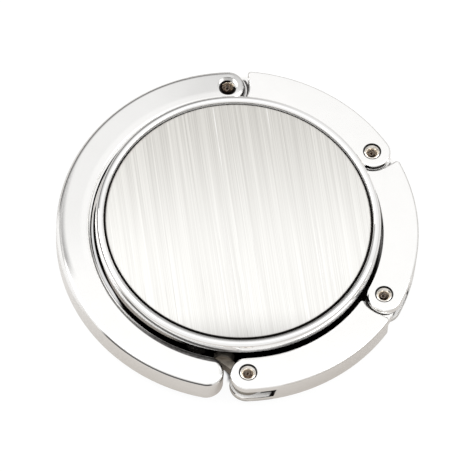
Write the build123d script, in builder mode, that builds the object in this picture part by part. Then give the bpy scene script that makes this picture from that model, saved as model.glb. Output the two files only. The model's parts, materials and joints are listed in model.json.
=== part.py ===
from build123d import *
from math import cos, degrees, radians, sin, tan
import os

# A folding purse hook. A round weight with a brushed plate on top and a rubber pad below lies on
# the table. Round it, as a closed ring, lie three short links and one long hooked arm, riveted end
# to end like a bracelet. The first link hangs on a swivel eye in the weight's wall, so the ring
# opens, turns down over the table's edge and makes a hook for the bag's strap.
# The frame: origin on the disc's axis at the pad's underside, +Z up, +Y towards the arm's hinge.
# Lengths are millimetres and angles are degrees, counted anticlockwise from +X as seen from above.

# The ring of links, closed
ring_outer_radius = 22.5
ring_width = 4.35
ring_thickness = 3.6
ring_lift = 1.1
pin_width_share = 0.469
first_hinge_angle = -90.0
hinge_pitch = 60.0
arm_tip_angle = 261.6
arm_top_round = 0.7
arm_bottom_round = 0.45

# A link's ends
end_round_share = 0.97
seat_clearance = 0.48
outer_corner_radius = 0.4
inner_corner_radius = 0.3
edge_chamfer = 0.25
tongue_radius = 1.9
tongue_thickness = 1.4
tongue_root = 1.0
slot_side_clearance = 0.1
slot_depth = 2.5
slot_slant = 16.0
slot_end_slope = 12.0

# Semi-tubular hinge rivets
rivet_radius = 0.85
rivet_fit = 0.02
rivet_running_clearance = 0.05
rivet_head_radius = 1.05
rivet_head_inset = 0.1
rivet_rim_chamfer = 0.14
rivet_lip = 0.2
rivet_hollow_radius = 0.6
rivet_hollow_depth = 2.4
rivet_flare_depth = 0.3
rivet_tip_cone = 0.3
counterbore_radius = 1.15
counterbore_depth = 0.45
arm_rivet_head_share = 0.9
arm_counterbore_share = 1.12

# The hub, which is the lower half of the disc, set in under the tray
hub_inset = 0.7
hub_top_gap = 0.3
hub_edge_round = 0.6

# The rubber pad under it
pad_margin = 2.2
pad_thickness = 0.8
pad_proud = 0.4
pad_gap = 0.15
pad_chamfer = 0.15
pad_adhesive_thickness = 0.1
pad_adhesive_margin = 0.4

# The bezel tray on top, which holds the brushed plate
tray_gap = 0.45
tray_height = 1.9
tray_crown_round = 0.6
tray_foot_chamfer = 0.2
rim_land = 1.0
rim_inner_round = 0.35
spigot_radius = 3.2
spigot_length = 1.5
spigot_gap = 0.05

# The brushed plate and its adhesive
inlay_thickness = 0.6
inlay_sink = 0.3
inlay_gap = 0.2
inlay_chamfer = 0.15
inlay_adhesive_thickness = 0.1
inlay_adhesive_margin = 0.5

# The countersunk screw that holds hub and tray together
screw_radius = 1.2
screw_hole_gap = 0.15
screw_head_radius = 2.3
screw_head_height = 1.1
screw_head_land = 0.15
screw_fit = 0.02
thread_floor_share = 0.65
screw_end_gap = 0.3
screw_socket_radius = 0.85
screw_socket_depth = 0.7

# The swivel eye, which carries the ring
swivel_angle = -99.0
swivel_shank_radius = 0.95
swivel_running_clearance = 0.05
swivel_play = 0.05
swivel_collar_radius = 1.3
swivel_neck_gap = 0.25
swivel_neck_half_width = 0.9
swivel_neck_length = 0.15
swivel_neck_end_radius = 0.5
swivel_tail_radius = 0.7
swivel_tail_end = 0.5
swivel_groove_radius = 0.5
swivel_wall = 2.2
pocket_length = 1.7
pocket_gap = 0.25

# Its washer and its open retaining clip
washer_radius = 1.3
washer_thickness = 0.3
clip_radius = 1.2
clip_thickness = 0.35
clip_fit = 0.02
clip_axial_gap = 0.03

# The magnet that holds the arm shut, and the steel slug that it pulls
closure_angle = 249.0
magnet_radius = 1.2
magnet_length = 1.8
keeper_radius = 1.0
keeper_length = 1.3
magnet_sink = 0.1
magnet_fit = 0.02

# Every cut runs this far past the face that it opens
overrun = 0.5

# Each quarter round is made of this many flats
round_steps = 3

# Levels and radii that follow from the sizes above
ring_inner_radius = ring_outer_radius - ring_width
ring_top = ring_lift + ring_thickness
ring_middle = ring_lift + ring_thickness / 2
pin_circle_radius = ring_inner_radius + pin_width_share * ring_width
end_reach = ring_width / 2
end_reach_angle = degrees(end_reach / pin_circle_radius)
end_round_radius = end_round_share * ring_width / 2
seat_radius = end_reach + seat_clearance
slot_height = tongue_thickness + 2 * slot_side_clearance
slot_base = ring_middle - slot_height / 2
tongue_base = ring_middle - tongue_thickness / 2
tray_radius = ring_inner_radius - tray_gap
hub_radius = tray_radius - hub_inset
pad_radius = hub_radius - pad_margin
tray_base = ring_top + hub_top_gap
tray_top = tray_base + tray_height
recess_radius = tray_radius - rim_land
inlay_top = tray_top - inlay_sink
inlay_base = inlay_top - inlay_thickness
recess_floor = inlay_base - inlay_adhesive_thickness
pad_seat = pad_thickness + pad_adhesive_thickness
pocket_outer = hub_radius - swivel_wall
pocket_inner = pocket_outer - pocket_length
pocket_half_width = washer_radius + pocket_gap
washer_outer = pocket_outer - swivel_play
clip_inner = washer_outer - washer_thickness - swivel_play - clip_thickness
eye_neck_start = ring_inner_radius - swivel_neck_gap

# The hinges, in the order of the chain from the swivel eye to the arm
eye_angle, link_1_end, link_2_end, arm_hinge_angle = (
    first_hinge_angle + hinge_pitch * step for step in range(4)
)


def polar(radius, angle):
    """The point at a radius and an angle about the disc's axis, as x and y."""
    return (radius * cos(radians(angle)), radius * sin(radians(angle)))


def pin_plane(angle, height):
    """A level plane on a hinge pin's axis, with x outwards and y anticlockwise round the ring."""
    x, y = polar(pin_circle_radius, angle)
    return Plane(origin=(x, y, height), x_dir=(*polar(1, angle), 0), z_dir=(0, 0, 1))


def pin_section(angle):
    """The upright plane through a hinge pin's axis, with x outwards and y up, for its profile."""
    x, y = polar(pin_circle_radius, angle)
    return Plane(origin=(x, y, 0), x_dir=(*polar(1, angle), 0), z_dir=(*polar(1, angle - 90), 0))


def wall_plane(angle, radius):
    """A plane square to a radius of the disc, facing outwards, at the height of the ring's middle."""
    x, y = polar(radius, angle)
    return Plane(origin=(x, y, ring_middle), x_dir=(*polar(1, angle + 90), 0), z_dir=(*polar(1, angle), 0))


def quarter_round(centre_x, centre_y, radius, start_angle):
    """The corners of a quarter round in a turned profile, anticlockwise from an angle."""
    turns = [radians(start_angle + 90 * step / round_steps) for step in range(round_steps + 1)]
    return [(centre_x + radius * cos(turn), centre_y + radius * sin(turn)) for turn in turns]


def ring_band(start_angle, end_angle, rounded_ends):
    """The flat outline of a length of the ring, with the ends at some angles rounded."""
    with BuildSketch() as band:
        with BuildLine():
            outer = CenterArc((0, 0), ring_outer_radius, start_angle, end_angle - start_angle)
            inner = CenterArc((0, 0), ring_inner_radius, start_angle, end_angle - start_angle)
            Line(outer @ 0, inner @ 0)
            Line(outer @ 1, inner @ 1)
        make_face()
        for angle in rounded_ends:
            corners = band.vertices().sort_by_distance(polar(pin_circle_radius, angle))[:2]
            fillet(corners, end_round_radius)
    return band.sketch


def clevis_cut(angle, bore_radius):
    """What a hinge takes out of a segment's round end: slot, rivet hole and two counterbores."""
    half_slant = ring_width * tan(radians(slot_slant))
    with BuildPart() as cut:
        with BuildSketch(pin_plane(angle, slot_base)):
            with BuildLine():
                Polyline(
                    (ring_width, slot_depth + half_slant),
                    (-ring_width, slot_depth - half_slant),
                    (-ring_width, -ring_width),
                    (ring_width, -ring_width),
                    close=True,
                )
            make_face()
        extrude(amount=slot_height, taper=-slot_end_slope)
        with BuildSketch(pin_plane(angle, ring_lift)):
            Circle(rivet_radius + rivet_fit)
        extrude(amount=ring_thickness)
        with BuildSketch(pin_plane(angle, ring_lift), pin_plane(angle, ring_top - counterbore_depth)):
            Circle(bore_radius)
        extrude(amount=counterbore_depth)
    return cut.part


def make_link(clevis_angle, tongue_angle, name):
    """One short link: a slotted round end at one pin, a tongue and a hollow seat at the next."""
    band_start = clevis_angle - end_reach_angle
    band = ring_band(band_start, tongue_angle, [band_start])
    cut = clevis_cut(clevis_angle, counterbore_radius)
    with BuildPart() as link:
        with BuildSketch(Plane.XY.offset(ring_lift)) as outline:
            add(band)
            with Locations(Location((*polar(pin_circle_radius, tongue_angle), 0), (0, 0, tongue_angle))):
                Circle(seat_radius, mode=Mode.SUBTRACT)
                Rectangle(ring_width, seat_radius, align=(Align.MIN, Align.MAX), mode=Mode.SUBTRACT)
            outer_corner = polar(ring_outer_radius, tongue_angle - degrees(seat_radius / ring_outer_radius))
            fillet(outline.vertices().sort_by_distance(outer_corner)[0], outer_corner_radius)
            inner_corner = polar(ring_inner_radius, tongue_angle - degrees(seat_radius / ring_inner_radius))
            fillet(outline.vertices().sort_by_distance(inner_corner)[0], inner_corner_radius)
        extrude(amount=ring_thickness)
        faces = link.faces().sort_by(Axis.Z)
        chamfer(faces[-1].edges() + faces[0].edges(), edge_chamfer)
        add(cut, mode=Mode.SUBTRACT)
        with BuildSketch(pin_plane(tongue_angle, tongue_base)):
            Circle(tongue_radius)
            Rectangle(2 * tongue_radius, seat_radius + tongue_root, align=(Align.CENTER, Align.MAX))
        extrude(amount=tongue_thickness)
        with Locations(pin_plane(tongue_angle, ring_top)):
            Hole(rivet_radius + rivet_running_clearance)
    link.part.label = name
    export_step(link.part, f"parts/{name}.step")


def make_rivet(angle, name, head_radius):
    """A semi-tubular rivet: a flat head below, and a hollow end flared out in the upper counterbore."""
    bottom = ring_lift + rivet_head_inset
    top = ring_top - rivet_head_inset
    lower_seat = ring_lift + counterbore_depth
    upper_seat = ring_top - counterbore_depth
    with BuildPart() as rivet:
        with BuildSketch(pin_section(angle)):
            with BuildLine():
                Polyline(
                    (0, bottom),
                    (head_radius - rivet_rim_chamfer, bottom),
                    (head_radius, bottom + rivet_rim_chamfer),
                    (head_radius, lower_seat),
                    (rivet_radius, lower_seat),
                    (rivet_radius, upper_seat),
                    (head_radius, upper_seat),
                    (head_radius, top - rivet_rim_chamfer),
                    (head_radius - rivet_rim_chamfer, top),
                    (head_radius - rivet_lip, top),
                    (rivet_hollow_radius, top - rivet_flare_depth),
                    (rivet_hollow_radius, top - rivet_hollow_depth),
                    (0, top - rivet_hollow_depth - rivet_tip_cone),
                    close=True,
                )
            make_face()
        revolve(axis=Axis((*polar(pin_circle_radius, angle), 0), (0, 0, 1)))
    rivet.part.label = name
    export_step(rivet.part, f"parts/{name}.step")


os.makedirs("parts", exist_ok=True)

# Three short links, each with its tongue in the slot of the next
make_link(eye_angle, link_1_end, "link_1")
make_link(link_1_end, link_2_end, "link_2")
make_link(link_2_end, arm_hinge_angle, "link_3")

# The rivet in each slotted end, from the swivel eye to the arm
make_rivet(eye_angle, "rivet_1", rivet_head_radius)
make_rivet(link_1_end, "rivet_2", rivet_head_radius)
make_rivet(link_2_end, "rivet_3", rivet_head_radius)
make_rivet(arm_hinge_angle, "rivet_4", rivet_head_radius * arm_rivet_head_share)

# The long arm, half the ring, whose round free end stops beside the first link
arm_start = arm_hinge_angle - end_reach_angle
arm_band = ring_band(arm_start, arm_tip_angle, [arm_start, arm_tip_angle])
arm_cut = clevis_cut(arm_hinge_angle, counterbore_radius * arm_counterbore_share)
with BuildPart() as hook_arm:
    with BuildSketch(Plane.XY.offset(ring_lift + arm_bottom_round)):
        add(arm_band)
    extrude(amount=ring_thickness - arm_bottom_round - arm_top_round)
    for end, size in ((0, arm_bottom_round), (-1, arm_top_round)):
        steep = hook_arm.faces().sort_by(Axis.Z)[end]
        extrude(steep, amount=size * sin(radians(45)), taper=22.5)
        shallow = hook_arm.faces().sort_by(Axis.Z)[end]
        extrude(shallow, amount=size * (1 - sin(radians(45))), taper=67.5)
    add(arm_cut, mode=Mode.SUBTRACT)
    with BuildSketch(wall_plane(closure_angle, ring_inner_radius - overrun)):
        Circle(keeper_radius + magnet_fit)
    extrude(amount=keeper_length + overrun, mode=Mode.SUBTRACT)
hook_arm.part.label = "hook_arm"
export_step(hook_arm.part, "parts/hook_arm.step")

# The steel slug in the arm's inner wall
with BuildPart() as arm_keeper:
    with BuildSketch(wall_plane(closure_angle, ring_inner_radius + magnet_sink)):
        Circle(keeper_radius)
    extrude(amount=keeper_length - magnet_sink)
arm_keeper.part.label = "arm_keeper"
export_step(arm_keeper.part, "parts/arm_keeper.step")

# The magnet in the hub's wall, opposite the slug
with BuildPart() as closure_magnet:
    with BuildSketch(wall_plane(closure_angle, hub_radius - magnet_sink)):
        Circle(magnet_radius)
    extrude(amount=magnet_sink - magnet_length)
closure_magnet.part.label = "closure_magnet"
export_step(closure_magnet.part, "parts/closure_magnet.step")

# The hub: a turned disc with a seat for the pad below and a pocket for the swivel's end above
spigot_seat = tray_base - spigot_length - spigot_gap
with BuildPart() as hub:
    with BuildSketch(Plane.XZ):
        with BuildLine():
            Polyline(
                (0, pad_seat),
                (pad_radius + pad_gap, pad_seat),
                (pad_radius + pad_gap, pad_proud),
                *quarter_round(hub_radius - hub_edge_round, pad_proud + hub_edge_round, hub_edge_round, -90),
                (hub_radius, tray_base),
                (spigot_radius + spigot_gap, tray_base),
                (spigot_radius + spigot_gap, spigot_seat),
                (0, spigot_seat),
                close=True,
            )
        make_face()
    revolve(axis=Axis.Z)
    with BuildSketch(Plane.XY.offset(ring_middle - pocket_half_width)):
        with Locations(Location((*polar(pocket_inner, swivel_angle), 0), (0, 0, swivel_angle))):
            Rectangle(pocket_length, 2 * pocket_half_width, align=(Align.MIN, Align.CENTER))
    extrude(amount=hub_radius, mode=Mode.SUBTRACT)
    with BuildSketch(wall_plane(swivel_angle, pocket_outer - pocket_length / 2)):
        Circle(swivel_shank_radius + swivel_running_clearance)
    extrude(amount=hub_radius, mode=Mode.SUBTRACT)
    with BuildSketch(wall_plane(closure_angle, hub_radius - magnet_length)):
        Circle(magnet_radius + magnet_fit)
    extrude(amount=hub_radius, mode=Mode.SUBTRACT)
    with BuildSketch(Plane.XZ):
        with BuildLine():
            Polyline(
                (0, pad_seat),
                (screw_head_radius + screw_hole_gap, pad_seat),
                (screw_head_radius + screw_hole_gap, pad_seat + screw_head_land + screw_hole_gap),
                (screw_radius + screw_hole_gap, pad_seat + screw_head_height + screw_hole_gap),
                (screw_radius + screw_hole_gap, spigot_seat),
                (0, spigot_seat),
                close=True,
            )
        make_face()
    revolve(axis=Axis.Z, mode=Mode.SUBTRACT)
hub.part.label = "hub"
export_step(hub.part, "parts/hub.step")

# The bezel tray: a shallow dish with a rounded rim, and a spigot that centres it in the hub
spigot_foot = tray_base - spigot_length
screw_hole_top = tray_base + thread_floor_share * (recess_floor - tray_base)
crown_centre = tray_radius - tray_crown_round
bead_centre = recess_radius + rim_inner_round
with BuildPart() as bezel_tray:
    with BuildSketch(Plane.XZ):
        with BuildLine():
            Polyline(
                (0, spigot_foot),
                (spigot_radius, spigot_foot),
                (spigot_radius, tray_base),
                (tray_radius - tray_foot_chamfer, tray_base),
                (tray_radius, tray_base + tray_foot_chamfer),
                *quarter_round(crown_centre, tray_top - tray_crown_round, tray_crown_round, 0),
                *quarter_round(bead_centre, tray_top - rim_inner_round, rim_inner_round, 90),
                (recess_radius, recess_floor),
                (0, recess_floor),
                close=True,
            )
        make_face()
    revolve(axis=Axis.Z)
    with BuildSketch(Plane.XY.offset(spigot_foot)):
        Circle(screw_radius + screw_fit)
    extrude(amount=screw_hole_top - spigot_foot, mode=Mode.SUBTRACT)
bezel_tray.part.label = "bezel_tray"
export_step(bezel_tray.part, "parts/bezel_tray.step")

# The brushed plate, let into the tray with a fine gap all round
with BuildPart() as brushed_inlay:
    with BuildSketch(Plane.XY.offset(inlay_base)):
        Circle(recess_radius - inlay_gap)
    extrude(amount=inlay_thickness)
    chamfer(brushed_inlay.faces().sort_by(Axis.Z)[-1].edges(), inlay_chamfer)
brushed_inlay.part.label = "brushed_inlay"
export_step(brushed_inlay.part, "parts/brushed_inlay.step")

# The film of adhesive under the plate
with BuildPart() as inlay_adhesive:
    with BuildSketch(Plane.XY.offset(recess_floor)):
        Circle(recess_radius - inlay_adhesive_margin)
    extrude(amount=inlay_adhesive_thickness)
inlay_adhesive.part.label = "inlay_adhesive"
export_step(inlay_adhesive.part, "parts/inlay_adhesive.step")

# The rubber pad, which stands out below the hub and grips the table
with BuildPart() as rubber_pad:
    Cylinder(pad_radius, pad_thickness, align=(Align.CENTER, Align.CENTER, Align.MIN))
    chamfer(rubber_pad.faces().sort_by(Axis.Z)[0].edges(), pad_chamfer)
rubber_pad.part.label = "rubber_pad"
export_step(rubber_pad.part, "parts/rubber_pad.step")

# The film of adhesive over the pad
with BuildPart() as pad_adhesive:
    with BuildSketch(Plane.XY.offset(pad_thickness)):
        Circle(pad_radius - pad_adhesive_margin)
    extrude(amount=pad_adhesive_thickness)
pad_adhesive.part.label = "pad_adhesive"
export_step(pad_adhesive.part, "parts/pad_adhesive.step")

# The countersunk screw, up through the hub into the tray's spigot
screw_end = screw_hole_top - screw_end_gap
with BuildPart() as centre_screw:
    with BuildSketch(Plane.XZ):
        with BuildLine():
            Polyline(
                (0, pad_seat),
                (screw_head_radius, pad_seat),
                (screw_head_radius, pad_seat + screw_head_land),
                (screw_radius, pad_seat + screw_head_height),
                (screw_radius, screw_end),
                (0, screw_end),
                close=True,
            )
        make_face()
    revolve(axis=Axis.Z)
    with BuildSketch(Plane.XY.offset(pad_seat)):
        RegularPolygon(screw_socket_radius, 6)
    extrude(amount=screw_socket_depth, mode=Mode.SUBTRACT)
centre_screw.part.label = "centre_screw"
export_step(centre_screw.part, "parts/centre_screw.step")

# The swivel eye: a turned pin in the hub's wall, with a collar and a flat eye for the first link
with BuildSketch(Plane.XY.offset(tongue_base)) as eye_outline:
    with Locations(polar(pin_circle_radius, eye_angle)):
        Circle(swivel_neck_end_radius)
    with Locations(Location((*polar(eye_neck_start, swivel_angle), 0), (0, 0, swivel_angle))):
        Rectangle(swivel_neck_length, 2 * swivel_neck_half_width, align=(Align.MIN, Align.CENTER))
    make_hull()
    with Locations(polar(pin_circle_radius, eye_angle)):
        Circle(tongue_radius)
with BuildPart() as swivel_eye:
    add(eye_outline.sketch)
    extrude(amount=tongue_thickness)
    with Locations(pin_plane(eye_angle, ring_top)):
        Hole(rivet_radius + rivet_running_clearance)
    with BuildSketch(wall_plane(swivel_angle, hub_radius + swivel_play)):
        Circle(swivel_collar_radius)
    extrude(amount=eye_neck_start - hub_radius - swivel_play)
    with BuildSketch(wall_plane(swivel_angle, washer_outer)):
        Circle(swivel_shank_radius)
    extrude(amount=eye_neck_start - washer_outer)
    with BuildSketch(wall_plane(swivel_angle, clip_inner - swivel_tail_end)):
        Circle(swivel_tail_radius)
    extrude(amount=washer_outer - clip_inner + swivel_tail_end)
    with BuildSketch(wall_plane(swivel_angle, clip_inner - clip_axial_gap)):
        Circle(swivel_tail_radius + overrun)
        Circle(swivel_groove_radius, mode=Mode.SUBTRACT)
    extrude(amount=clip_thickness + 2 * clip_axial_gap, mode=Mode.SUBTRACT)
swivel_eye.part.label = "swivel_eye"
export_step(swivel_eye.part, "parts/swivel_eye.step")

# The plain washer on the eye's tail, against the pocket's outer wall
with BuildPart() as swivel_washer:
    with BuildSketch(wall_plane(swivel_angle, washer_outer - washer_thickness)):
        Circle(washer_radius)
        Circle(swivel_tail_radius + swivel_running_clearance, mode=Mode.SUBTRACT)
    extrude(amount=washer_thickness)
swivel_washer.part.label = "swivel_washer"
export_step(swivel_washer.part, "parts/swivel_washer.step")

# The open clip in the tail's groove, pushed on from above
with BuildPart() as swivel_clip:
    with BuildSketch(wall_plane(swivel_angle, clip_inner)):
        Circle(clip_radius)
        Circle(swivel_groove_radius + clip_fit, mode=Mode.SUBTRACT)
        Rectangle(
            2 * swivel_groove_radius,
            clip_radius,
            align=(Align.CENTER, Align.MAX),
            mode=Mode.SUBTRACT,
        )
    extrude(amount=clip_thickness)
swivel_clip.part.label = "swivel_clip"
export_step(swivel_clip.part, "parts/swivel_clip.step")
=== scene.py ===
import json
import math

import bmesh
import bpy
from mathutils import Matrix, Vector


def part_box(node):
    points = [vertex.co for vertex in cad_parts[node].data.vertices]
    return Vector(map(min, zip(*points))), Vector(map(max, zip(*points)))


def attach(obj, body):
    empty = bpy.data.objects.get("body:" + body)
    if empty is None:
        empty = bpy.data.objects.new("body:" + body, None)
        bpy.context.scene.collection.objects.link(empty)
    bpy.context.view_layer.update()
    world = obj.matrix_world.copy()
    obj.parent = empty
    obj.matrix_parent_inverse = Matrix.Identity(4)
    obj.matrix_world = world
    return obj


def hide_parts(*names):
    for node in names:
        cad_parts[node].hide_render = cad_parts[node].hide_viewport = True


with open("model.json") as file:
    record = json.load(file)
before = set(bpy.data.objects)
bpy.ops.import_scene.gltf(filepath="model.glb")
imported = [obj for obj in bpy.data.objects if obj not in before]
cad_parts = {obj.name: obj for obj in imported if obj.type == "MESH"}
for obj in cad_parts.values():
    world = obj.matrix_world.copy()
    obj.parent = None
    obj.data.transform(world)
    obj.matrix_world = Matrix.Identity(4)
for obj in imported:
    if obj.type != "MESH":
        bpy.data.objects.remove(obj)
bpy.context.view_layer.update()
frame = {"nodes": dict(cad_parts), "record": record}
nodes = frame["nodes"]


# ---- Rubber pad -----------------------------------------------------------
# A disc of black rubber, stamped out of calendered sheet. It is matt, a
# little dusty, and has the fine grain of the roller on its face.

MM = 0.001


class Signal:
    """A value that varies over a surface, as the socket that gives it."""

    def __init__(self, finish, socket):
        self.finish, self.socket = finish, socket

    def _sum(self, operation, first, second):
        return self.finish.add("ShaderNodeMath", {"operation": operation}, {0: first, 1: second})

    def __add__(self, other):
        return self._sum("ADD", self, other)

    __radd__ = __add__

    def __sub__(self, other):
        return self._sum("SUBTRACT", self, other)

    def __rsub__(self, other):
        return self._sum("SUBTRACT", other, self)

    def __mul__(self, other):
        return self._sum("MULTIPLY", self, other)

    __rmul__ = __mul__

    def __pow__(self, other):
        return self._sum("POWER", self, other)


class Finish:
    """A node tree, and the few ways in which this object's finishes fill it."""

    def __init__(self, name=None, tree=None):
        if tree is None:
            self.material = bpy.data.materials.new(name)
            self.material.use_nodes = True
            tree = self.material.node_tree
        self.tree = tree
        tree.nodes.clear()

    def add(self, kind, settings=None, inputs=None, output=0):
        node = self.tree.nodes.new(kind)
        for key, value in (settings or {}).items():
            setattr(node, key, value)
        for key, value in (inputs or {}).items():
            if isinstance(value, Signal):
                self.tree.links.new(value.socket, node.inputs[key])
            else:
                node.inputs[key].default_value = value
        return Signal(self, node.outputs[output]) if len(node.outputs) else None

    def place(self, stretch=(1, 1, 1), turn=0.0, shift=(0, 0, 0)):
        """Where a point of the piece is, in millimetres, turned and stretched for a pattern."""
        here = self.add("ShaderNodeTexCoord", output="Object")
        turned = self.add("ShaderNodeMapping", None, {
            "Vector": here, "Rotation": (0, 0, math.radians(turn)),
            "Scale": (1 / MM, 1 / MM, 1 / MM), "Location": shift})
        return self.add("ShaderNodeVectorMath", {"operation": "MULTIPLY"}, {0: turned, 1: stretch})

    def along(self, axis):
        """How far a point is along x, y or z, in millimetres."""
        return self.add("ShaderNodeSeparateXYZ", None, {0: self.place()}, output="xyz".index(axis))

    def reach(self, centre=(0, 0)):
        """How far a point is from an upright axis, in millimetres."""
        flat = self.place(stretch=(1, 1, 0))
        return self.add("ShaderNodeVectorMath", {"operation": "DISTANCE"},
                        {0: flat, 1: (*centre, 0)}, output=1)

    def grain(self, where, per_mm, detail=3.0, rough=0.55):
        """Cloudy noise from 0 to 1, with that many cells to a millimetre."""
        return self.add("ShaderNodeTexNoise", {"noise_type": "FBM"},
                        {"Vector": where, "Scale": per_mm, "Detail": detail, "Roughness": rough})

    def between(self, value, low, high, to_low=0.0, to_high=1.0):
        """A smooth step, from one amount at the low level to another at the high one."""
        return self.add("ShaderNodeMapRange", {"interpolation_type": "SMOOTHSTEP"},
                        {0: value, 1: low, 2: high, 3: to_low, 4: to_high})

    def within(self, value, full, gone):
        """1 up to a level, fading to 0 at the next."""
        return self.between(value, full, gone, 1.0, 0.0)

    def band(self, value, low, high, soft=0.02):
        """1 where a value lies between two levels, fading to 0 beyond them."""
        return self.between(value, low - soft, low) * self.within(value, high, high + soft)

    def either(self, *shares):
        """1 where any of the shares is 1."""
        left = 1
        for share in shares:
            left = left * (1 - share)
        return 1 - left

    def blend(self, share, first, second):
        """The first colour where share is 0, the second where it is 1."""
        pair = {0: share}
        for key, colour in ((6, first), (7, second)):
            pair[key] = colour if isinstance(colour, Signal) else (*colour, 1)
        return self.add("ShaderNodeMix", {"data_type": "RGBA"}, pair, output=2)

    def relief(self, height, depth, strength=1.0, under=None):
        """The normal of a surface whose height varies by depth millimetres."""
        inputs = {"Height": height, "Distance": depth * MM, "Strength": strength}
        if under is not None:
            inputs["Normal"] = under
        return self.add("ShaderNodeBump", None, inputs)

    def level(self, share, under):
        """A normal turned upright by a share, as where a bevel is buffed flat with its face."""
        lean = self.add("ShaderNodeVectorMath", {"operation": "SUBTRACT"}, {0: (0, 0, 1), 1: under})
        turned = self.add("ShaderNodeVectorMath", {"operation": "MULTIPLY_ADD"},
                          {0: lean, 1: share, 2: under})
        return self.add("ShaderNodeVectorMath", {"operation": "NORMALIZE"}, {0: turned})

    def coat(self, colour, roughness, normal=None, **fixed):
        """Ends the tree in a Principled shader."""
        inputs = {"Base Color": colour if isinstance(colour, Signal) else (*colour, 1),
                  "Roughness": roughness}
        if normal is not None:
            inputs["Normal"] = normal
        for key, value in fixed.items():
            inputs[key.replace("_", " ")] = value
        shader = self.add("ShaderNodeBsdfPrincipled", None, inputs)
        self.add("ShaderNodeOutputMaterial", None, {"Surface": shader})
        return self.material

    def on(self, *pieces):
        """Puts this finish on pieces, or on CAD nodes by name."""
        for piece in pieces:
            slots = (nodes[piece] if isinstance(piece, str) else piece).data.materials
            slots.clear()
            slots.append(self.material)


BLACK_RUBBER, DUSTY_RUBBER = (0.018, 0.018, 0.019), (0.05, 0.048, 0.045)

rubber = Finish("pad_rubber")
where = rubber.place()
roller_grain = rubber.grain(where, 9, 2)
dust = rubber.between(rubber.grain(where, 0.35, 4, 0.6), 0.45, 0.75)
rubber.coat(rubber.blend(dust * 0.6 + roller_grain * 0.15, BLACK_RUBBER, DUSTY_RUBBER),
            0.62 + dust * 0.2 + roller_grain * 0.1, rubber.relief(roller_grain, 0.03, 0.6))
rubber.on("rubber_pad")


# ---- Adhesive films -------------------------------------------------------
# Two discs of double-sided film, one under the pad and one under the
# brushed plate. Only their pale edges could ever show.

film = Finish("adhesive_film")
fibres = film.grain(film.place(stretch=(1, 6, 1), turn=35), 2.5, 4, 0.6)
film.coat(film.blend(fibres, (0.62, 0.58, 0.47), (0.80, 0.77, 0.68)), 0.45 + fibres * 0.2,
          film.relief(fibres, 0.01, 0.5))
film.on("pad_adhesive", "inlay_adhesive")


# ---- Hub ------------------------------------------------------------------
# The cast zinc weight in the middle, tumbled and then plated, and coloured as black
# nickel. Its satin, near-black colour is painted shade for the dark gap round it,
# but for a patch front left kept in bright metal, unshaded, where the gap shows bright.

MERGE_WITHIN = 0.002 * MM   # corners closer than this become one
FLAT_ANGLE = 0.3            # facets that differ by less, in degrees, are joined

body_of = {node: body for body, held in frame["record"]["behaviour"]["bodies"].items()
           for node in held}


def soften(name, crease=50):
    """A joined-up copy of a CAD node that shades its small bevels as rounds, and stands for it."""
    mesh = bpy.data.meshes.new(name + "_soft")
    shape = bmesh.new()
    shape.from_mesh(nodes[name].data)
    bmesh.ops.remove_doubles(shape, verts=shape.verts, dist=MERGE_WITHIN)
    bmesh.ops.dissolve_limit(shape, angle_limit=math.radians(FLAT_ANGLE),
                             verts=shape.verts, edges=shape.edges)
    for edge in shape.edges:
        edge.smooth = len(edge.link_faces) == 2 and edge.calc_face_angle() < math.radians(crease)
    for face in shape.faces:
        face.smooth = True
    shape.to_mesh(mesh)
    shape.free()
    if "custom_normal" in mesh.attributes:
        mesh.attributes.remove(mesh.attributes["custom_normal"])
    piece = bpy.data.objects.new(name + "_soft", mesh)
    bpy.context.scene.collection.objects.link(piece)
    weigh = piece.modifiers.new("weigh_normals", "WEIGHTED_NORMAL")
    weigh.mode = "FACE_AREA"
    weigh.weight = 100
    weigh.keep_sharp = True
    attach(piece, body_of[name])
    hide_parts(name)
    return piece


# Painted light and shade on the hub: a patch front left is kept out of the painted shade and keeps bright
# metal.
UNSHADED_METAL = (0.96, 0.95, 0.93)
UNSHADED_FRONT = (-15.0, -3.5)     # from y to y
UNSHADED_LEFT = (-9, -7)           # full at the first x, gone at the second
UNSHADED_FOOT = (0.34, 0.54)       # height of its slanting lower edge
UNSHADED_SLANT = 0.19              # how much that edge drops for each millimetre towards the back

# Painted shade: the hub's near-black colour stands in for the dark gap round it.
black = Finish("black_nickel_and_shade")
where = black.place()
tumbled = black.grain(where, 1.1, 4, 0.6)
rub = black.between(black.grain(black.place(stretch=(0.6, 9, 0.6), turn=15), 2.0, 2, 0.5), 0.58, 0.72)
tone = black.blend(tumbled * 0.6 + rub * 0.5, (0.003, 0.002, 0.002), (0.014, 0.012, 0.011))
unshaded_patch = (black.between(black.along("z") + black.along("y") * UNSHADED_SLANT, *UNSHADED_FOOT)
         * black.within(black.along("x"), *UNSHADED_LEFT) * black.band(black.along("y"), *UNSHADED_FRONT, 1.5))
black.coat(black.blend(unshaded_patch, tone, UNSHADED_METAL), 0.30 + tumbled * 0.14,
           black.relief(tumbled, 0.02, 0.6), Metallic=1.0, Specular_Tint=(0.25, 0.22, 0.20, 1))
black.on(soften("hub"))


# ---- Bezel tray -----------------------------------------------------------
# The shallow plated dish that crowns the hub. Its bead of a rim is buffed
# to a mirror. Painted shade fills the fine groove round the plate and runs in
# lines along the crown's front, and its side is painted pale as light.

# The first colour below is painted shade, the second a pale tone painted as light; of the two shares, the
# second is the colour left under painted grey shade.
PAINTED_SHADE_COLOUR = (0.030, 0.026, 0.024)
PAINTED_PALE_COLOUR = (0.99, 0.98, 0.965)
STREAKED, PAINTED_GREY_SHARE = 0.93, 0.60       # how much of the colour is left there


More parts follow.
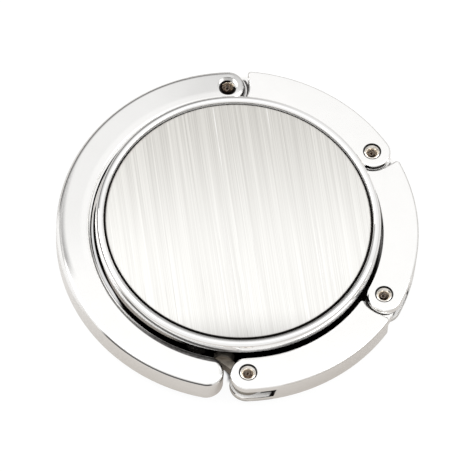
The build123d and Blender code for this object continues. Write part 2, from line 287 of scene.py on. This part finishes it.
def plating(name, colour, gloss, smear, waviness, painted_shade=None, dull_and_painted_grey=None, matt_and_painted_pale=None, flat=None):
    """Bright plate on cast zinc, with faint smears, waves and rubbing marks. The last four arguments
    are functions that give, from a Finish, where the plate is painted dark as shade, rougher and
    painted grey as shade, matt and painted pale as light, and buffed level."""
    finish = Finish(name)
    where = finish.place()
    cloud = finish.grain(where, 0.55, 3, 0.5)
    wipe = finish.grain(finish.place(stretch=(1, 7, 1), turn=28), 1.3, 3, 0.6)
    rubbing = finish.grain(finish.place(stretch=(0.5, 12, 0.5), turn=-40), 3.0, 2, 0.5)
    rub = finish.between(rubbing, 0.60, 0.72)
    speck = finish.between(finish.grain(where, 3.2, 1, 0.4), 0.74, 0.80)
    waves = finish.grain(where, 0.30, 2, 0.45)
    tone = finish.blend(cloud * 0.4 + wipe * 0.3 + speck * 0.4, colour, tuple(c * STREAKED for c in colour))
    rough = gloss + smear * wipe * cloud * 2 + rub * 0.04 + speck * 0.1
    if dull_and_painted_grey is not None:
        grey = dull_and_painted_grey(finish)
        tone = finish.blend(grey, tone, tuple(c * PAINTED_GREY_SHARE for c in colour))
        rough = rough + grey * 0.12
    metal = 1.0
    if matt_and_painted_pale is not None:
        matt = matt_and_painted_pale(finish)
        tone = finish.blend(matt, tone, PAINTED_PALE_COLOUR)
        rough = rough + matt * 0.3
        metal = 1 - matt
    if painted_shade is not None:
        dark = painted_shade(finish)
        tone = finish.blend(dark, tone, PAINTED_SHADE_COLOUR)
        rough = rough + dark * 0.45
    normal = finish.relief(waves, waviness, 1.0)
    normal = finish.relief(rub, 0.0012, 0.25, under=normal)
    if flat is not None:
        normal = finish.level(flat(finish), normal)
    finish.coat(tone, rough, normal, Metallic=metal)
    return finish


TRAY_PLATE = (0.955, 0.95, 0.942)
GROOVE = (16.90, 16.98)             # the groove ends between these radii
GROOVE_FAR_WALL = (16.80, 16.90)
BEAD_INSIDE = (17.02, 17.30)        # the inner round of the rim
TRAY_SIDE = (17.40, 17.50)          # the side starts between these
# Where the side's painted pale strip starts.
MATT_PAINTED_PALE_SIDE = (17.42, 17.50)

tray_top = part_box("bezel_tray")[1].z / MM


def tray_painted_shade(finish):
    """Painted shade in the groove, higher on its front side, and on the rim's inner round at the front; a
    painted dark line along the front of the crown, and painted shade on the side's front right.
    """
    height, reach, north, east = finish.along("z"), finish.reach(), finish.along("y"), finish.along("x")
    tipped = height + north * 0.0162
    groove = finish.within(tipped, tray_top - 0.46, tray_top - 0.40) * finish.within(reach, *GROOVE)
    inner_round = (finish.within(reach, *BEAD_INSIDE)
                   * finish.between(height, tray_top - 0.26, tray_top - 0.20)
                   * finish.between(north, -13, -3, 0.50, 0.0))
    falling = height + east * 0.065
    crown_line = (finish.band(falling, tray_top - 1.82, tray_top - 1.38, 0.10)
                  * finish.between(reach, *TRAY_SIDE)
                  * finish.band(east, -14, -3, 3) * finish.within(north, -6, 0))
    front_right = (finish.within(height - east * 0.07, tray_top - 1.48, tray_top - 1.34)
                   * finish.between(reach, *TRAY_SIDE)
                   * finish.between(east, 1, 5) * finish.within(north, -8, -5))
    return finish.either(groove, inner_round, crown_line * 0.90, front_right * 0.62)


def tray_matt_painted_pale(finish):
    """The tray's side is matt and painted pale as light, less so on the right, and so is the groove's far
    wall.
    """
    height, reach = finish.along("z"), finish.reach()
    side = (finish.between(height, tray_top - 1.95, tray_top - 1.85)
            * finish.within(height, tray_top - 0.60, tray_top - 0.48)
            * finish.between(reach, *MATT_PAINTED_PALE_SIDE) * finish.between(finish.along("x"), -12, 6, 1.0, 0.30))
    far_wall = (finish.between(height, tray_top - 0.80, tray_top - 0.70)
                * finish.within(height, tray_top - 0.40, tray_top - 0.32)
                * finish.within(reach, *GROOVE_FAR_WALL) * finish.between(finish.along("y"), -2, 6))
    return finish.either(side, far_wall * 0.9)


plating("buffed_rim", TRAY_PLATE, 0.03, 0.03, 0.004, tray_painted_shade,
        matt_and_painted_pale=tray_matt_painted_pale).on(soften("bezel_tray"))


# ---- Brushed inlay --------------------------------------------------------
# A thin round plate drawn through a belt brush one way. The strokes are
# hair fine and uneven. The plate is painted darker towards its back, as a
# painted falloff of its sheen, and painted shade darkens its rim and side.

BRUSH_TURN = -4.0
NEAR_DARK, NEAR_BRIGHT = (0.765, 0.755, 0.73), (0.90, 0.895, 0.87)
# The back colours are the same streaks in painted shade.
BACK_DARK, BACK_BRIGHT = (0.495, 0.48, 0.45), (0.655, 0.64, 0.605)
DEEP_SCRATCH, FRESH_SCRATCH = (0.50, 0.485, 0.46), (0.99, 0.985, 0.975)
RIM_SHADE, EDGE_SHADE = (0.42, 0.40, 0.38), (0.03, 0.027, 0.025)

brushed = Finish("brushed_plate")


def strokes(across, along, shift=0.0, detail=2.0):
    """Noise drawn out along the brush, with so many cells to a millimetre across and along it."""
    stretched = brushed.place(stretch=(across, along, 0), turn=BRUSH_TURN, shift=(shift, shift * 0.7, 0))
    return brushed.grain(stretched, 1.0, detail, 0.5)


hair = strokes(13, 0.035, 0, 2)
fine = strokes(6.5, 0.022, 31, 1)
wide = strokes(1.6, 0.012, -12)
bright_scratch = brushed.between(strokes(4.8, 0.022, 57, 1), 0.66, 0.71)
dark_scratch = brushed.between(strokes(5.4, 0.020, -71, 1), 0.67, 0.71)
patch = brushed.between(brushed.grain(brushed.place(shift=(3, 9, 0)), 0.16, 2, 0.5), 0.38, 0.62)
streak = hair * 0.52 + fine * 0.34 + wide * 0.14
level = brushed.between(streak, 0.36, 0.64)
# Painted shade: the plate darkens towards its back, in place of its sheen falling off.
sheen = brushed.between(brushed.along("y"), -8.0, 20.0)
tone = brushed.blend(level * 0.88 + wide * 0.12, NEAR_DARK, NEAR_BRIGHT)
tone = brushed.blend(sheen, tone, brushed.blend(level, BACK_DARK, BACK_BRIGHT))
tone = brushed.blend(bright_scratch * patch * 0.7, tone, FRESH_SCRATCH)
tone = brushed.blend(dark_scratch * patch * 0.45, tone, DEEP_SCRATCH)
near_rim = brushed.between(brushed.reach(), 16.10, 16.48)
tone = brushed.blend(near_rim * 0.40, tone, RIM_SHADE)
# Painted shade on the plate's side, down in the groove.
tipped = brushed.along("z") + brushed.along("y") * 0.005
side = brushed.within(tipped, tray_top - 0.42, tray_top - 0.36)
tone = brushed.blend(side, tone, EDGE_SHADE)
brushed.coat(tone, 0.33 + level * 0.07 - bright_scratch * 0.08,
             brushed.relief(streak, 0.010, 0.5), Metallic=1.0)
brushed.on("brushed_inlay")


# ---- Centre screw, washer, clip and slug ----------------------------------
# The zinc-plated screw that holds the tray to the hub from below, the
# washer and clip on the swivel eye's tail, and the slug in the arm.

steel = Finish("fastener_steel")
where = steel.place()
passivated = steel.grain(where, 1.6, 4, 0.6)
turned = steel.grain(steel.place(stretch=(9, 9, 0.6)), 1.0, 2, 0.5)
steel.coat(steel.blend(passivated, (0.50, 0.50, 0.49), (0.68, 0.67, 0.63)), 0.26 + passivated * 0.2,
           steel.relief(turned, 0.01, 0.5), Metallic=1.0)
steel.on("centre_screw", "swivel_washer", "swivel_clip", "arm_keeper")


# ---- Closure magnet -------------------------------------------------------
# A small rod magnet with a coat of nickel, pressed into the hub where the
# arm's tip comes home. Painted shade covers nearly all of it.

MAGNET_SHADE = (0.014, 0.012, 0.011)

magnet = Finish("magnet_nickel")
where = magnet.place()
dull_and_painted_grey = magnet.grain(where, 1.9, 3, 0.55)
# Painted shade over nearly all of the magnet, where it sits in the dark gap.
shaded_share = magnet.within(magnet.grain(where, 4.5, 2, 0.5), 0.66, 0.74)
nickel = magnet.blend(dull_and_painted_grey, (0.64, 0.62, 0.58), (0.74, 0.73, 0.70))
magnet.coat(magnet.blend(shaded_share, nickel, MAGNET_SHADE), 0.14 + dull_and_painted_grey * 0.2 + shaded_share * 0.2,
            magnet.relief(dull_and_painted_grey, 0.01, 0.4), Metallic=1.0)
magnet.on("closure_magnet")


# ---- Swivel eye -----------------------------------------------------------
# The turned steel lug that the first link hangs on. It is the one dull,
# brownish piece, seen in the notch beside the arm's tip.

lug = Finish("swivel_steel")
where = lug.place()
tarnish = lug.grain(where, 0.9, 4, 0.6)
tool_marks = lug.grain(lug.place(stretch=(1, 1, 8)), 1.4, 2, 0.5)
lug.coat(lug.blend(tarnish, (0.15, 0.13, 0.108), (0.40, 0.37, 0.325)), 0.24 + tarnish * 0.2,
         lug.relief(tool_marks, 0.02, 0.5), Metallic=1.0)
lug.on("swivel_eye")


# ---- Links and hook arm ---------------------------------------------------
# Three short links and the long arm, all cast zinc, tumbled until their
# edges are soft, then plated bright. Painted shade lies in the slots, seats and
# counterbores and along some edges, and painted pale light on slot lips and strips.

RING_PLATE = (0.935, 0.928, 0.915)
SLOT_HALF = 0.80                    # half the slot's height, with its edges
LIP = (22.40, 22.45)                # the slot's lip, painted pale as light, ends between these radii
BEHIND_LIP = (21.80, 21.90)         # and its inside, painted dark as shade, lies within these
SHOULDER = (22.02, 22.12)           # the outer shoulder starts here

pins = []
for number in (1, 2, 3, 4):
    low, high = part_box(f"rivet_{number}")
    pins.append(((low.x + high.x) / 2 / MM, (low.y + high.y) / 2 / MM))
ring_low, ring_high = (corner.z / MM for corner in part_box("link_2"))
ring_middle = (ring_low + ring_high) / 2


def slot_walls(finish, clevis):
    """The slot that the next tongue turns in, as its outer lip painted pale as light and its inside painted
    dark as shade.
    """
    off_pin = finish.reach(clevis)
    slot = (finish.band(finish.along("z"), ring_middle - SLOT_HALF, ring_middle + SLOT_HALF)
            * finish.within(off_pin, 4.0, 4.2) * finish.within(finish.reach(), *LIP))
    inside = finish.within(finish.reach(), *BEHIND_LIP) * finish.within(off_pin, 1.82, 1.92)
    body_side = finish.within(finish.reach(), *BEHIND_LIP) * finish.between(off_pin, 2.14, 2.24)
    blind_end = finish.either(body_side, finish.between(off_pin, 3.20, 3.32))
    dark = finish.either(inside, blind_end)
    floor = finish.within(finish.along("z"), ring_middle - 0.1, ring_middle)
    return slot * (1 - dark) * (0.3 + floor * 0.7), slot * dark


def joint_painted_shade(clevis, seat, bore, sunk_share=0.85, crescent=(2.44, 2.74)):
    """Painted shade in the slot and counterbores at one pin, and on the hollow seat and in a thin line on the
    tongue round the other.
    """
    def share(finish):
        height = finish.along("z")
        sunk = finish.either(finish.band(height, ring_high - 0.47, ring_high - 0.05),
                             finish.band(height, ring_low + 0.05, ring_low + 0.47))
        in_bore = finish.within(finish.reach(clevis), bore, bore + 0.03)
        dark = [slot_walls(finish, clevis)[1], sunk * in_bore * sunk_share]
        if seat is not None:
            off_seat = finish.reach(seat)
            low_wall = finish.band(height, ring_low + 0.3, ring_high - 0.32, 0.06)
            dark.append(finish.band(off_seat, *crescent) * low_wall
                        * finish.within(finish.reach(), 21.5, 21.9) * 0.92)
            on_tongue = finish.within(height, ring_middle + 0.72, ring_middle + 0.76)
            dark.append(on_tongue * finish.within(off_seat, 2.18, 2.26) * 0.9)
        return finish.either(*dark)
    return share


def outer_shoulder(finish):
    """The upper outer edge of the arm, on its left side."""
    return (finish.between(finish.reach(), *SHOULDER)
            * finish.between(finish.along("z"), ring_high - 0.8, ring_high - 0.6)
            * finish.band(finish.along("y"), -7, 0, 5) * finish.within(finish.along("x"), -16, -14))


def ring_matt_painted_pale(clevis, seat=None, strip=(2.28, 2.38)):
    """Where the plate is matt and painted pale as light: a slot's lip, a strip on the rim of a tongue, and the
    arm's left shoulder.
    """
    def share(finish):
        matt = slot_walls(finish, clevis)[0]
        if seat is not None:
            on_tongue = finish.band(finish.along("z"), ring_middle + 0.55, ring_middle + 0.76, 0.04)
            return finish.either(matt, on_tongue * finish.band(finish.reach(seat), *strip, 0.04) * 0.9)
        return finish.either(matt, outer_shoulder(finish))
    return share


def inner_bevel(finish):
    """The bevel inside the ring is buffed almost flat with its top."""
    return (finish.within(finish.reach(), 18.46, 18.50)
            * finish.between(finish.along("z"), ring_high - 0.34, ring_high - 0.31))


def off_bright_side(finish, centre):
    """0 on the side of the arm's rivet that is kept out of the painted shade, to stay bright, 1 elsewhere."""
    return finish.within(finish.reach((centre[0] + 0.85, centre[1] + 0.45)), 0.46, 0.56)


def arm_painted_shade(finish):
    """Painted shade at the arm's joint, with thin dark lines painted as reflections on its front shoulder and
    inner edge, and a painted grey left edge.
    """
    height, reach, north = finish.along("z"), finish.reach(), finish.along("y")
    joint = joint_painted_shade(pins[3], None, 1.08, 0.95)(finish) * (1 - off_bright_side(finish, pins[3]))
    shoulder_line = (finish.band(height, ring_high - 0.32, ring_high - 0.20, 0.05)
                     * finish.between(reach, 22.0, 22.1) * finish.within(north, -14.6, -13.2))
    mottle = finish.grain(finish.place(), 2.2, 3, 0.6)
    slanting = reach + north * 0.034
    inner_line = (finish.within(slanting, 18.38, 18.50)
                  * finish.either(finish.between(slanting, 18.16, 18.26), finish.within(north, -16, -9))
                  * finish.between(height, ring_high - 0.40, ring_high - 0.34)
                  * finish.between(north, -16, -8, 0.95, 0.70) * finish.within(north, 0, 5)
                  * (0.82 + mottle * 0.3))
    left_edge = (finish.between(reach - north * 0.035, 21.2, 21.95) * finish.within(reach, 22.06, 22.20)
                 * finish.between(height, ring_high - 0.5, ring_high - 0.3) * finish.band(north, -3, 7, 4))
    return finish.either(joint, shoulder_line * 0.92, inner_line,
                         left_edge * 0.64, outer_shoulder(finish) * 0.30)


def arm_painted_grey(finish):
    """Painted grey shade on the arm's top, strongest beside its hinge, and a little over its back."""
    cloud = finish.grain(finish.place(stretch=(1, 1, 0)), 0.30, 1, 0.5)
    by_hinge = finish.within(finish.reach(pins[3]), 1.5, 11.0) * (0.18 + cloud * 0.60)
    inward = finish.between(finish.reach(), 19.2, 19.8)
    back = finish.between(finish.along("y"), -8, 4) * (0.10 + inward * 0.16)
    return finish.either(by_hinge * (0.40 + inward * 0.60), back)


for number in (1, 2, 3):
    crescent, strip = ((2.10, 2.38), (2.44, 2.62)) if number == 1 else ((2.46, 2.74), (2.26, 2.38))
    clevis, seat = pins[number - 1], pins[number]
    finish = plating(f"ring_plate_{number}", RING_PLATE, 0.08, 0.05, 0.010,
                     joint_painted_shade(clevis, seat, 1.17, crescent=crescent),
                     matt_and_painted_pale=ring_matt_painted_pale(clevis, seat, strip), flat=inner_bevel)
    finish.on(soften(f"link_{number}"))
finish = plating("ring_plate_arm", RING_PLATE, 0.08, 0.05, 0.012, arm_painted_shade, arm_painted_grey,
                 ring_matt_painted_pale(pins[3]), inner_bevel)
finish.on(soften("hook_arm"))


# ---- Rivets ---------------------------------------------------------------
# Tubular brass rivets, nickel plated, with their ends rolled over in a
# counterbore. Grime mottles them. Each hollow holds painted dark swirls standing
# for reflections, and a painted dark spot of shade in a painted bright ring; painted
# shade rings the rim.

NICKEL, WORN_NICKEL = (0.92, 0.90, 0.865), (0.70, 0.65, 0.575)
BRASS, BROWNED_BRASS = (0.85, 0.72, 0.58), (0.34, 0.21, 0.12)
# Painted colours: dark swirls as reflections in the hollows, and shade round the rims.
PAINTED_SWIRL_DARK, RIM_PAINTED_SHADE = (0.020, 0.013, 0.009), (0.008, 0.006, 0.005)
# A painted highlight ring, and a painted dark spot of shade, for the hollows.
PAINTED_GLINT_RING = (0.97, 0.95, 0.93)
PAINTED_DEEP_SPOT, PAINTED_DEEP_SPOT_IN_FIRST = (0.012, 0.008, 0.006), (0.10, 0.06, 0.04)
SPOT_OFF_CENTRE = (0.04, -0.20)
# The painted dark spot and its painted bright ring are laid out as they show from the photo's viewing height,
# with the sine and cosine of that angle.
ACROSS_SHARE, DEPTH_SHARE = 0.88, 0.476

rivet_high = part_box("rivet_1")[1].z / MM
for number, centre in enumerate(pins, 1):
    head = (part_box(f"rivet_{number}")[1].x / MM) - centre[0]
    rivet = Finish(f"rivet_nickel_{number}")
    height, off_axis = rivet.along("z"), rivet.reach(centre)
    grime = rivet.grain(rivet.place(), 2.4, 3, 0.6)
    curl = rivet.grain(rivet.place(shift=(number * 3.1, number, 0)), 1.25, 0.6, 0.4)
    swirl = rivet.between(curl, 0.50, 0.55)
    deep = rivet.within(height, rivet_high - 2.2, rivet_high - 0.26) * rivet.within(off_axis, 0.80, 0.86)
    rim = (rivet.between(off_axis, head - 0.10, head - 0.02)
           * rivet.within(height, rivet_high - 0.16, rivet_high - 0.03))
    tone = rivet.blend(grime, NICKEL, WORN_NICKEL)
    tone = rivet.blend(deep, tone, rivet.blend(grime, BRASS, BROWNED_BRASS))
    # Painted reflection: dark swirls in the hollow.
    tone = rivet.blend(swirl * deep * 0.95, tone, PAINTED_SWIRL_DARK)
    down = (rivet.along("y") - centre[1]) * ACROSS_SHARE + (height - rivet_high) * DEPTH_SHARE
    aside = rivet.along("x") - centre[0] - SPOT_OFF_CENTRE[0]
    off_deep_spot = (aside ** 2 + (down - SPOT_OFF_CENTRE[1]) ** 2) ** 0.5
    # A painted highlight ring round a painted dark spot of shade, low in the hollow.
    tone = rivet.blend(rivet.band(off_deep_spot, 0.17, 0.31, 0.04) * deep, tone, PAINTED_GLINT_RING)
    deep_spot = rivet.within(off_deep_spot, 0.13, 0.17) * deep
    tone = rivet.blend(deep_spot, tone, PAINTED_DEEP_SPOT_IN_FIRST if number == 1 else PAINTED_DEEP_SPOT)
    # Painted shade round the rim of the head, and on the arm's rivet a wide dark ring open on its bright side.
    rim_shade_share = rim
    if number == 4:
        rim_shade_share = rivet.either(rim, rivet.band(off_axis, 0.68, 1.10)) * (1 - off_bright_side(rivet, centre))
    tone = rivet.blend(rim_shade_share, tone, RIM_PAINTED_SHADE)
    rivet.coat(tone, 0.08 + deep * 0.3 + rim_shade_share * 0.3 + grime * 0.05, rivet.relief(grime, 0.02, 0.5),
               Metallic=1 - deep * 0.85)
    rivet.on(soften(f"rivet_{number}"))


# ---- Table, studio and camera ---------------------------------------------
# A plain white table and a light tent, bright overhead. The table is painted
# dark below the disc as a painted shadow, and painted white in patches seen
# through gaps and in reflections. The tent's dark parts draw thin lines
# along polished edges.

# The dark colour is a painted shadow under the disc; the glow colours, darker at the front, are the table as
# reflections see it, painted.
TABLE_DARK, TABLE_WHITE = (0.012, 0.010, 0.009), (0.80, 0.80, 0.80)
GLOW_FRONT, GLOW_BACK = (0.49, 0.445, 0.40), (0.71, 0.685, 0.66)
# Where the disc's axis seems to meet the table when it is seen through the gap from the photo's height
SEEN_THROUGH = (0.35, 2.51)


def lay_table():
    bpy.ops.mesh.primitive_plane_add(size=3.0, location=(0, 0, -0.0001))
    table = bpy.context.object
    table.name = "table_top"
    top = Finish("table_white")
    rays = top.add("ShaderNodeLightPath", output="Is Camera Ray")
    mirrored = top.add("ShaderNodeLightPath", output="Is Glossy Ray")
    # Painted light: patches of the table that stay white through the notch and the gaps, and a patch seen
    # white only in reflections.
    notch = top.within(top.reach((-3.7, -18.4)), 1.3, 1.7)
    east, north = top.along("x"), top.along("y")
    off_gap = top.reach(SEEN_THROUGH)
    left = top.between(off_gap, 18.05, 18.12) * top.within(east, -15.5, -14.5) * top.within(north, 5, 8)
    right = top.between(north, 1.5, 5.0) * top.between(east, 14, 15)
    open_table = top.either(top.between(top.reach(), 18.6, 19.4), notch, left * 0.8, right * 0.6)
    lit_gap = top.within(east, -10.5, -9) * top.within(top.reach(), 18.4, 18.7)
    glow = top.blend(mirrored, (1, 1, 1), top.blend(top.between(north, -21, -3), GLOW_FRONT, GLOW_BACK))
    white = top.add("ShaderNodeEmission", None, {"Color": glow, "Strength": 1.04})
    # Painted shadow under the disc, with a darker painted line on its left.
    dark_line = top.band(off_gap, 17.70, 18.03, 0.06) * top.within(east, -13, -11)
    under = top.between(top.reach(), 17.6, 18.5) * (1 - dark_line * 0.85)
    paper = top.add("ShaderNodeBsdfDiffuse", None, {"Color": top.blend(under, TABLE_DARK, TABLE_WHITE)})
    lift = rays * 0.90 * open_table + mirrored * top.either(open_table * 0.70, lit_gap)
    lifted = top.add("ShaderNodeMixShader", None, {0: lift, 1: paper, 2: white})
    top.add("ShaderNodeOutputMaterial", None, {"Surface": lifted})
    table.data.materials.append(top.material)


TENT_DARK = (0.01, 0.006, 0.004)
TENT_WALL, TENT_CEILING = 0.97, 1.20        # their brightness in reflections
DARKEST = 0.93


def pitch_tent():
    world = bpy.data.worlds.new("light_tent")
    bpy.context.scene.world = world
    world.use_nodes = True
    tent = Finish(tree=world.node_tree)
    facing = tent.add("ShaderNodeTexCoord", output="Generated")
    east, north, up = (tent.add("ShaderNodeSeparateXYZ", None, {0: facing}, output=axis) for axis in (0, 1, 2))
    seen = tent.add("ShaderNodeLightPath", output="Is Camera Ray")
    glossy = tent.add("ShaderNodeLightPath", output="Is Glossy Ray")
    behind = tent.between(north, -0.15, 0.35) * tent.within(east, -0.10, 0.45)
    gap = behind * tent.within(up, 0.25, 0.90) * 0.80
    gap = gap + tent.within(north, -0.86, -0.70) * tent.within(up, 0.42, 0.50) * 0.05
    gap = gap + tent.between(east, 0.1, 0.6) * tent.within(up, 0.05, 0.55) * 0.35
    gap = tent.add("ShaderNodeMath", {"operation": "MINIMUM"}, {0: gap, 1: DARKEST})
    cloth = tent.blend(tent.between(up, 0.80, 0.95), (TENT_WALL,) * 3, (TENT_CEILING,) * 3)
    wall = tent.blend(gap, cloth, TENT_DARK)
    plain = tent.blend(seen, (0.90, 0.90, 0.90), (1, 1, 1))
    sky = tent.add("ShaderNodeBackground", None, {"Color": tent.blend(glossy, plain, wall), "Strength": 1.0})
    tent.add("ShaderNodeOutputWorld", None, {"Surface": sky})


lay_table()
pitch_tent()


def softbox(name, place, aim, size, watts):
    """A square lamp of that many watts, turned towards a point."""
    lamp = bpy.data.lights.new(name, "AREA")
    lamp.shape = "RECTANGLE"
    lamp.size, lamp.size_y = size
    lamp.energy = watts
    box = bpy.data.objects.new(name, lamp)
    box.location = place
    box.rotation_euler = (Vector(aim) - Vector(place)).to_track_quat("-Z", "Y").to_euler()
    bpy.context.scene.collection.objects.link(box)


softbox("softbox_left", (-0.30, 0.10, 0.40), (0, 0, 0), (0.35, 0.35), 1.2)
softbox("softbox_right", (0.34, -0.06, 0.38), (0, 0, 0), (0.30, 0.30), 0.8)

AIM = Vector((-0.25, -0.86, 4.0)) * MM
AZIMUTH, ELEVATION, ROLL = math.radians(7.98), math.radians(61.6), math.radians(-5.0)
DISTANCE = 700 * MM
PIXELS_PER_MM = 8.058
FRAME_WIDTH = 472
SENSOR_WIDTH = 36

back = Vector((-math.cos(ELEVATION) * math.sin(AZIMUTH), -math.cos(ELEVATION) * math.cos(AZIMUTH),
               math.sin(ELEVATION)))
right = Vector((math.cos(AZIMUTH), -math.sin(AZIMUTH), 0))
upward = back.cross(right)
lens_right = right * math.cos(ROLL) - upward * math.sin(ROLL)
lens_up = right * math.sin(ROLL) + upward * math.cos(ROLL)
lens_turn = Matrix((lens_right, lens_up, back)).transposed().to_4x4()
camera = bpy.data.objects.new("camera", bpy.data.cameras.new("camera"))
bpy.context.scene.collection.objects.link(camera)
camera.matrix_world = Matrix.Translation(AIM + back * DISTANCE) @ lens_turn
camera.data.sensor_width = SENSOR_WIDTH
camera.data.lens = PIXELS_PER_MM * (DISTANCE / MM) * SENSOR_WIDTH / FRAME_WIDTH
camera.data.clip_start = 0.02
bpy.context.scene.camera = camera
bpy.context.scene.view_settings.view_transform = "Standard"
